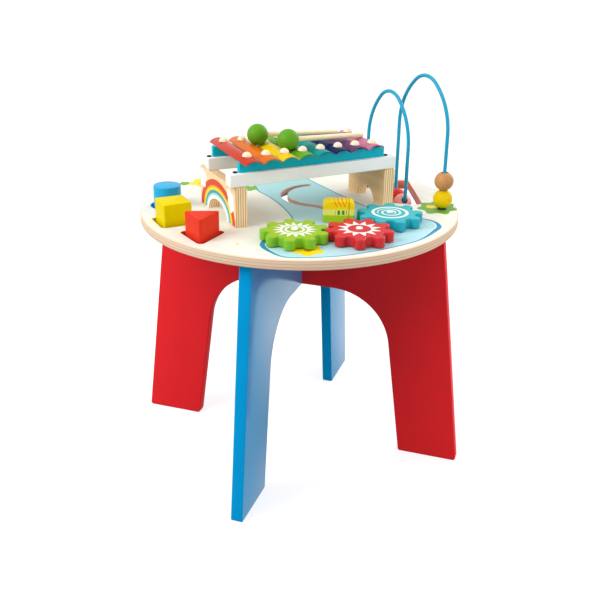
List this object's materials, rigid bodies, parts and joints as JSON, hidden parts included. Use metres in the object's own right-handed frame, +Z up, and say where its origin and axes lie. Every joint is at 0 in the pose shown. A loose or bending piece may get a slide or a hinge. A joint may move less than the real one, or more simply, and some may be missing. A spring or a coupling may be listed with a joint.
{
  "type": "play table",
  "caption": "Round wooden play table on crossed arched leg panels, with a xylophone and mallets, meshing gears, shape blocks in pockets, a slider in a curved slot and a bead wire.",
  "frame": {"origin": "on the floor under the middle of the round board", "axes": "+Z up; X along the red leg panel and Y along the blue one, with the gears towards +X and -Y"},
  "size_m": [0.553, 0.553, 0.6022],
  "materials": {
    "pale_plywood": "clear matt lacquer, printed on top",
    "red_paint": "satin paint on plywood",
    "blue_paint": "satin paint on plywood",
    "support_plywood": "clear matt lacquer",
    "white_paint": "satin paint",
    "teal_paint": "satin paint",
    "bar_red_paint": "gloss paint on sheet steel",
    "bar_orange_paint": "gloss paint on sheet steel",
    "bar_yellow_paint": "gloss paint on sheet steel",
    "bar_green_paint": "gloss paint on sheet steel",
    "bar_teal_paint": "gloss paint on sheet steel",
    "bar_navy_paint": "gloss paint on sheet steel",
    "bar_purple_paint": "gloss paint on sheet steel",
    "bar_pink_paint": "gloss paint on sheet steel",
    "pin_cream": "gloss",
    "mallet_green": "satin paint",
    "bare_wood": "bare turned wood",
    "block_blue": "satin paint",
    "block_yellow": "satin paint",
    "block_red": "satin paint",
    "gear_red_paint": "satin paint, printed on top",
    "gear_green_paint": "satin paint, printed on top",
    "gear_turquoise_paint": "satin paint, printed on top",
    "axle_cream": "matt",
    "washer_white": "matt",
    "slider_paint": "satin paint, printed",
    "peg_white": "matt",
    "screw_steel": "bright",
    "screw_dark": "black finish",
    "wire_blue": "gloss coating on steel wire",
    "bush_black": "matt",
    "bead_yellow_paint": "satin paint",
    "bead_natural_wood": "clear lacquer",
    "bead_pink_paint": "satin paint",
    "bead_red_paint": "satin paint",
    "bracket_steel": "zinc plated"
  },
  "bodies": {
    "table": {"tabletop": "pale_plywood", "red_leg_panel": "red_paint", "blue_leg_panel": "blue_paint", "leg_brackets": "bracket_steel", "bracket_screws": "screw_steel", "xylophone_left_support": "support_plywood", "xylophone_right_support": "support_plywood", "support_screws": "screw_steel", "front_rail": "white_paint", "rear_rail": "white_paint", "rail_screws": "screw_dark", "front_strip": "teal_paint", "rear_strip": "teal_paint", "bar_red": "bar_red_paint", "bar_orange": "bar_orange_paint", "bar_yellow": "bar_yellow_paint", "bar_green": "bar_green_paint", "bar_teal": "bar_teal_paint", "bar_navy": "bar_navy_paint", "bar_purple": "bar_purple_paint", "bar_pink": "bar_pink_paint", "bar_pins": "pin_cream", "gear_axles": "axle_cream", "gear_washers": "washer_white", "bead_wire": "wire_blue", "wire_bushes": "bush_black"},
    "mallet_1": {"mallet_head_1": "mallet_green", "mallet_stick_1": "bare_wood"},
    "mallet_2": {"mallet_head_2": "mallet_green", "mallet_stick_2": "bare_wood"},
    "cylinder": {"block_cylinder": "block_blue"},
    "cube": {"block_cube": "block_yellow"},
    "prism": {"block_prism": "block_red"},
    "red_gear": {"gear_red": "gear_red_paint"},
    "green_gear": {"gear_green": "gear_green_paint"},
    "turquoise_gear": {"gear_turquoise": "gear_turquoise_paint"},
    "slider": {"slider_block": "slider_paint", "slider_peg": "peg_white", "slider_screw": "screw_steel"},
    "yellow_bead": {"bead_yellow": "bead_yellow_paint"},
    "natural_bead": {"bead_natural": "bead_natural_wood"},
    "pink_bead": {"bead_pink": "bead_pink_paint"},
    "red_bead": {"bead_red": "bead_red_paint"}
  },
  "joints": [
    {"name": "red_gear_spin", "type": "hinge", "parent": "table", "child": "red_gear", "pos_m": [0.129, -0.124, 0.413], "axis": [0, 0, 1], "continuous": true},
    {"name": "green_gear_spin", "type": "hinge", "parent": "table", "child": "green_gear", "pos_m": [0.04603, -0.15888, 0.413], "axis": [0, 0, 1], "continuous": true},
    {"name": "turquoise_gear_spin", "type": "hinge", "parent": "table", "child": "turquoise_gear", "pos_m": [0.15199, -0.03699, 0.413], "axis": [0, 0, 1], "continuous": true},
    {"name": "slider_run", "type": "hinge", "parent": "table", "child": "slider", "pos_m": [0.016, -0.061, 0.405], "axis": [0, 0, 1], "range_deg": [0, 82]},
    {"name": "cylinder_lift", "type": "slide", "parent": "table", "child": "cylinder", "axis": [0, 0, 1], "range_m": [0, 0.05]},
    {"name": "cube_lift", "type": "slide", "parent": "table", "child": "cube", "axis": [0, 0, 1], "range_m": [0, 0.05]},
    {"name": "prism_lift", "type": "slide", "parent": "table", "child": "prism", "axis": [0, 0, 1], "range_m": [0, 0.05]},
    {"name": "mallet_1_lift", "type": "slide", "parent": "table", "child": "mallet_1", "axis": [0, 0, 1], "range_m": [0, 0.06]},
    {"name": "mallet_2_lift", "type": "slide", "parent": "table", "child": "mallet_2", "axis": [0, 0, 1], "range_m": [0, 0.06]},
    {"name": "yellow_bead_slide", "type": "slide", "parent": "table", "child": "yellow_bead", "axis": [0, 0, 1], "range_m": [0, 0.05]},
    {"name": "natural_bead_slide", "type": "slide", "parent": "table", "child": "natural_bead", "axis": [0, 0, 1], "range_m": [0, 0.05]},
    {"name": "pink_bead_swing", "type": "hinge", "parent": "table", "child": "pink_bead", "pos_m": [0.1377, 0.09905, 0.421], "axis": [0.8848, 0.4659, 0], "range_deg": [-25, 25]},
    {"name": "red_bead_swing", "type": "hinge", "parent": "table", "child": "red_bead", "pos_m": [0.1377, 0.09905, 0.421], "axis": [0.8848, 0.4659, 0], "range_deg": [-25, 25]}
  ],
  "couplings": [
    {"joint": "green_gear_spin", "follows": "red_gear_spin", "ratio": -1},
    {"joint": "turquoise_gear_spin", "follows": "red_gear_spin", "ratio": -1},
    {"joint": "natural_bead_slide", "follows": "yellow_bead_slide", "ratio": 1},
    {"joint": "red_bead_swing", "follows": "pink_bead_swing", "ratio": 1}
  ]
}
